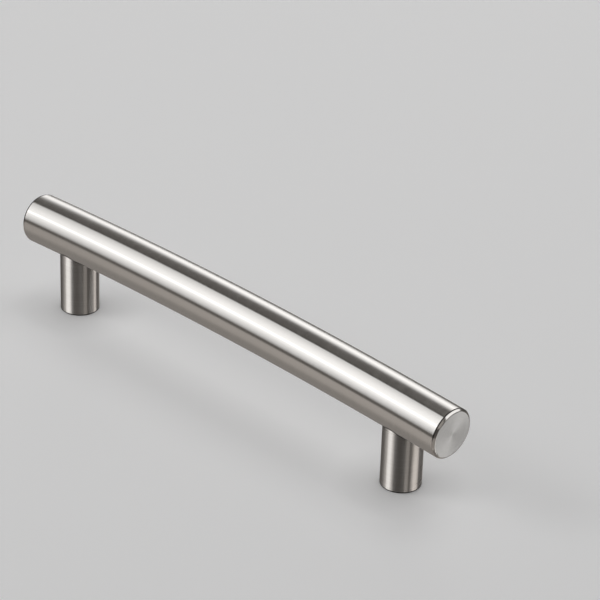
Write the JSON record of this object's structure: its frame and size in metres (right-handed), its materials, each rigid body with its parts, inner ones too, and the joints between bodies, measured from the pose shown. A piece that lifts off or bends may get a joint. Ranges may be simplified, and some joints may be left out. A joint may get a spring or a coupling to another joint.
{
  "type": "bridge pull handle",
  "caption": "Drawer pull handle: a slightly bowed round bar with flat capped ends, carried on round posts whose feet are drilled for machine screws.",
  "frame": {"origin": "midway between the posts' axes, on the mounting plane that the feet stand on", "axes": "+X along the bar, +Z from the mounting plane towards the bar, +Y across the bar"},
  "size_m": [0.1626, 0.0144, 0.032],
  "materials": {
    "bar_steel": "brushed round the bar, bright",
    "cap_steel": "turned end face with fine concentric marks",
    "post_steel": "brushed round the post, bright",
    "slug_steel": "plain turned",
    "stud_steel": "zinc plated"
  },
  "bodies": {
    "root": {"bar_tube": "bar_steel", "end_cap_left": "cap_steel", "end_cap_right": "cap_steel", "post_left": "post_steel", "post_right": "post_steel", "threaded_slug_left": "slug_steel", "threaded_slug_right": "slug_steel", "joining_stud_left": "stud_steel", "joining_stud_right": "stud_steel"}
  },
  "joints": []
}
